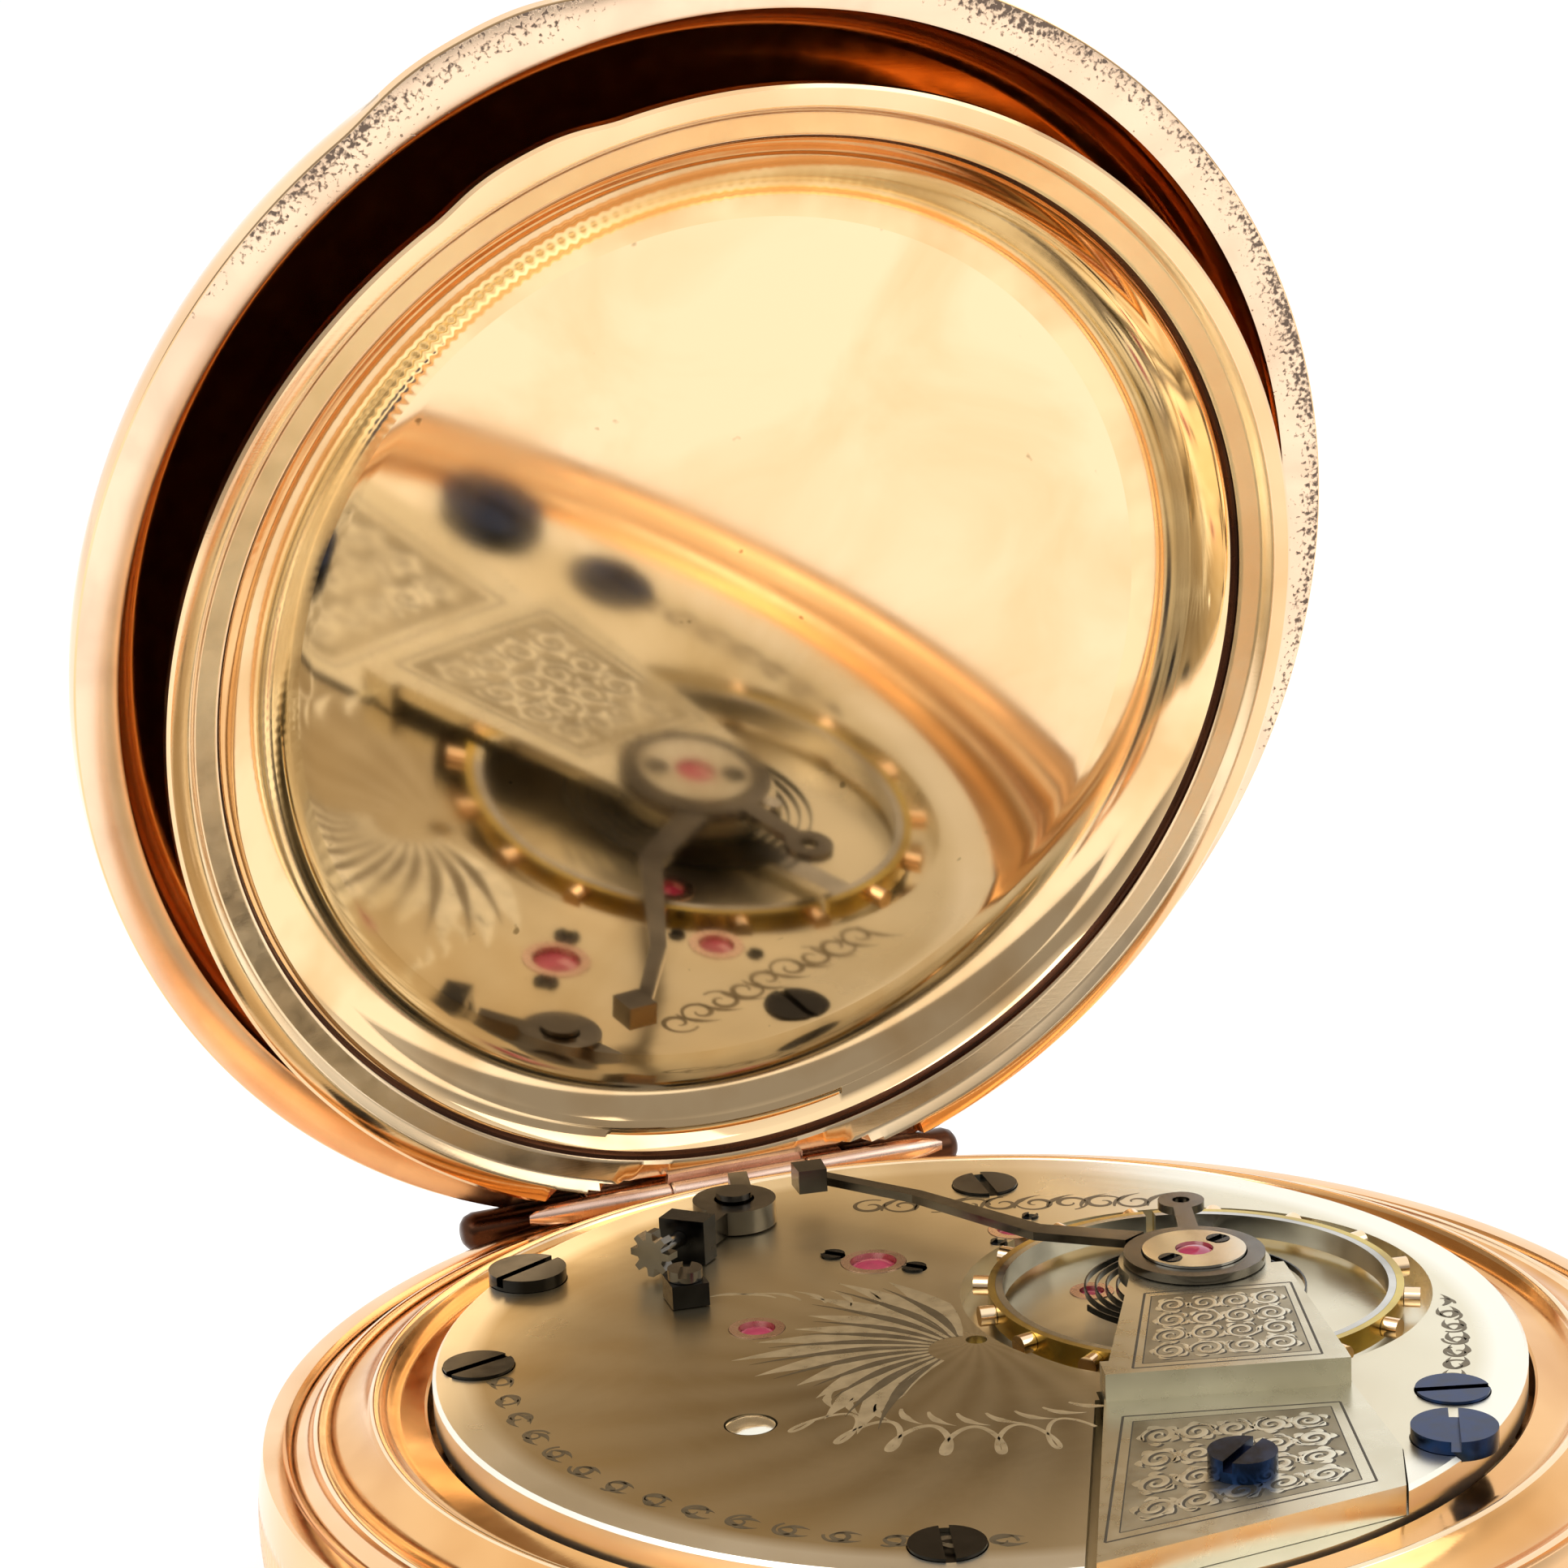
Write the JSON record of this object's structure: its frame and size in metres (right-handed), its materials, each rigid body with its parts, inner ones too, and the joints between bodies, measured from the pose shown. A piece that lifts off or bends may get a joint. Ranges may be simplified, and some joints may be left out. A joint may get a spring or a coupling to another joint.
{
  "type": "hunter pocket watch",
  "caption": "Round hinged-case pocket watch lying dial down, its back lid and inner dust lid open over a plated mechanical movement with balance wheel and bow.",
  "frame": {"origin": "centre of the flat outer face of the closed front cover, on the watch's own axis", "axes": "+Z from the front cover towards the back of the watch, +Y towards the lid hinges, -Y towards the pendant and bow"},
  "size_m": [0.0562, 0.0796, 0.0639],
  "materials": {
    "gold_case": "polished gold alloy",
    "gold_lid": "mirror-polished gold alloy",
    "gold_trim": "rose gold alloy",
    "nickel": "satin nickel with engraved pattern",
    "blued_steel": "heat-blued steel",
    "steel": "polished steel",
    "brass": "gilded brass",
    "ruby": "polished ruby",
    "crystal": "clear mineral glass",
    "enamel": "fired white enamel"
  },
  "bodies": {
    "movement_case": {"case_centre": "gold_case", "hinge_boxes": "gold_trim", "hinge_pins": "steel", "cuvette_hinge_tubes": "gold_trim", "bezel": "gold_case", "crystal": "crystal", "lid_springs": "steel", "pendant": "gold_case", "pendant_sleeve": "steel", "main_plate": "nickel", "pillars": "nickel", "top_plate": "nickel", "plate_screws": "blued_steel", "case_screws": "blued_steel", "train_jewels": "ruby", "jewel_settings": "gold_trim", "jewel_screws": "blued_steel", "balance_cock": "nickel", "cap_setting": "steel", "cap_jewel": "ruby", "micrometer_blocks": "steel", "micrometer_screws": "steel", "micrometer_spring": "steel", "hairspring": "blued_steel", "hairspring_stud": "steel", "potence": "nickel", "wheel_studs": "steel", "dial": "enamel"},
    "back_lid": {"back_cover": "gold_lid"},
    "cuvette_lid": {"cuvette": "gold_lid"},
    "front_lid": {"front_cover": "gold_case"},
    "bow_loop": {"bow": "gold_trim"},
    "stem_slider": {"stem_collar": "steel"},
    "crown_group": {"crown": "gold_case", "winding_stem": "steel", "winding_pinion": "steel"},
    "index_lever": {"regulator": "steel"},
    "balance_group": {"balance_rim": "brass", "balance_arms": "steel", "balance_screws": "gold_trim", "balance_staff": "steel", "roller": "steel"},
    "fork_group": {"pallet_fork": "steel", "pallet_stones": "ruby"},
    "escape_group": {"escape_wheel": "steel"},
    "fourth_group": {"fourth_wheel": "brass", "seconds_hand": "blued_steel"},
    "third_group": {"third_wheel": "brass"},
    "centre_group": {"centre_wheel": "brass"},
    "barrel_group": {"mainspring_barrel": "brass", "mainspring": "blued_steel"},
    "ratchet_group": {"ratchet_wheel": "steel", "barrel_arbor": "steel"},
    "crown_wheel_group": {"crown_wheel": "steel"},
    "click_group": {"click": "steel"},
    "minute_group": {"cannon_pinion": "steel", "minute_hand": "blued_steel"},
    "minute_wheel_group": {"minute_wheel": "brass"},
    "hour_group": {"hour_wheel": "brass", "hour_hand": "blued_steel"}
  },
  "joints": [
    {"name": "back_lid_hinge", "type": "hinge", "parent": "movement_case", "child": "back_lid", "pos_m": [0, 0.027, 0.00975], "axis": [-1, 0, 0], "range_deg": [-78, 12]},
    {"name": "cuvette_hinge", "type": "hinge", "parent": "movement_case", "child": "cuvette_lid", "pos_m": [0, 0.024, 0.011], "axis": [-1, 0, 0], "range_deg": [-78, 12]},
    {"name": "front_lid_hinge", "type": "hinge", "parent": "movement_case", "child": "front_lid", "pos_m": [0, 0.027, 0.0045], "axis": [1, 0, 0], "range_deg": [0, 90]},
    {"name": "stem_slide", "type": "slide", "parent": "movement_case", "child": "stem_slider", "axis": [0, -1, 0], "range_m": [-0.0004, 0.001]},
    {"name": "crown_spin", "type": "hinge", "parent": "stem_slider", "child": "crown_group", "pos_m": [0, -0.0366, 0.0071], "axis": [0, 1, 0], "continuous": true},
    {"name": "bow_swing", "type": "hinge", "parent": "movement_case", "child": "bow_loop", "pos_m": [0, -0.0315, 0.0071], "axis": [1, 0, 0], "range_deg": [-80, 80]},
    {"name": "regulator_turn", "type": "hinge", "parent": "movement_case", "child": "index_lever", "pos_m": [0.0099, 0.0006, 0.0134], "axis": [0, 0, 1], "range_deg": [-2, 2]},
    {"name": "balance_swing", "type": "hinge", "parent": "movement_case", "child": "balance_group", "pos_m": [0.0099, 0.0006, 0.0119], "axis": [0, 0, 1], "range_deg": [-150, 150]},
    {"name": "fork_rock", "type": "hinge", "parent": "movement_case", "child": "fork_group", "pos_m": [0.00728, 0.00442, 0.0087], "axis": [0, 0, 1], "range_deg": [-3, 3]},
    {"name": "fourth_spin", "type": "hinge", "parent": "movement_case", "child": "fourth_group", "pos_m": [0, 0.0096, 0.0073], "axis": [0, 0, 1], "continuous": true},
    {"name": "third_spin", "type": "hinge", "parent": "movement_case", "child": "third_group", "pos_m": [-0.007, 0.0052, 0.0102], "axis": [0, 0, 1], "continuous": true},
    {"name": "centre_spin", "type": "hinge", "parent": "movement_case", "child": "centre_group", "pos_m": [0, 0, 0.0096], "axis": [0, 0, 1], "continuous": true},
    {"name": "escape_spin", "type": "hinge", "parent": "movement_case", "child": "escape_group", "pos_m": [0.00666, 0.01012, 0.009], "axis": [0, 0, 1], "continuous": true},
    {"name": "barrel_spin", "type": "hinge", "parent": "movement_case", "child": "barrel_group", "pos_m": [-0.01088, -0.00342, 0.008], "axis": [0, 0, 1], "continuous": true},
    {"name": "crown_wheel_spin", "type": "hinge", "parent": "movement_case", "child": "crown_wheel_group", "pos_m": [0, -0.0105, 0.0045], "axis": [0, 0, 1], "continuous": true},
    {"name": "ratchet_spin", "type": "hinge", "parent": "movement_case", "child": "ratchet_group", "pos_m": [-0.01088, -0.00342, 0.0045], "axis": [0, 0, 1], "continuous": true},
    {"name": "click_lift", "type": "hinge", "parent": "movement_case", "child": "click_group", "pos_m": [-0.0151, 0.00385, 0.0045], "axis": [0, 0, 1], "range_deg": [-8, 8]},
    {"name": "minute_set", "type": "hinge", "parent": "movement_case", "child": "minute_group", "pos_m": [0, 0, 0.003], "axis": [0, 0, 1], "continuous": true},
    {"name": "minute_wheel_spin", "type": "hinge", "parent": "movement_case", "child": "minute_wheel_group", "pos_m": [0.0044, 0, 0.0048], "axis": [0, 0, 1], "continuous": true},
    {"name": "hour_set", "type": "hinge", "parent": "movement_case", "child": "hour_group", "pos_m": [0, 0, 0.0042], "axis": [0, 0, 1], "continuous": true}
  ],
  "couplings": [
    {"joint": "cuvette_hinge", "follows": "back_lid_hinge", "ratio": 1},
    {"joint": "third_spin", "follows": "fourth_spin", "ratio": -0.13333},
    {"joint": "centre_spin", "follows": "fourth_spin", "ratio": 0.016667},
    {"joint": "escape_spin", "follows": "fourth_spin", "ratio": -10},
    {"joint": "barrel_spin", "follows": "fourth_spin", "ratio": -0.0044444},
    {"joint": "crown_wheel_spin", "follows": "crown_spin", "ratio": -0.33333},
    {"joint": "ratchet_spin", "follows": "crown_spin", "ratio": 0.28571},
    {"joint": "minute_wheel_spin", "follows": "minute_set", "ratio": -0.33333},
    {"joint": "hour_set", "follows": "minute_set", "ratio": 0.083333}
  ]
}
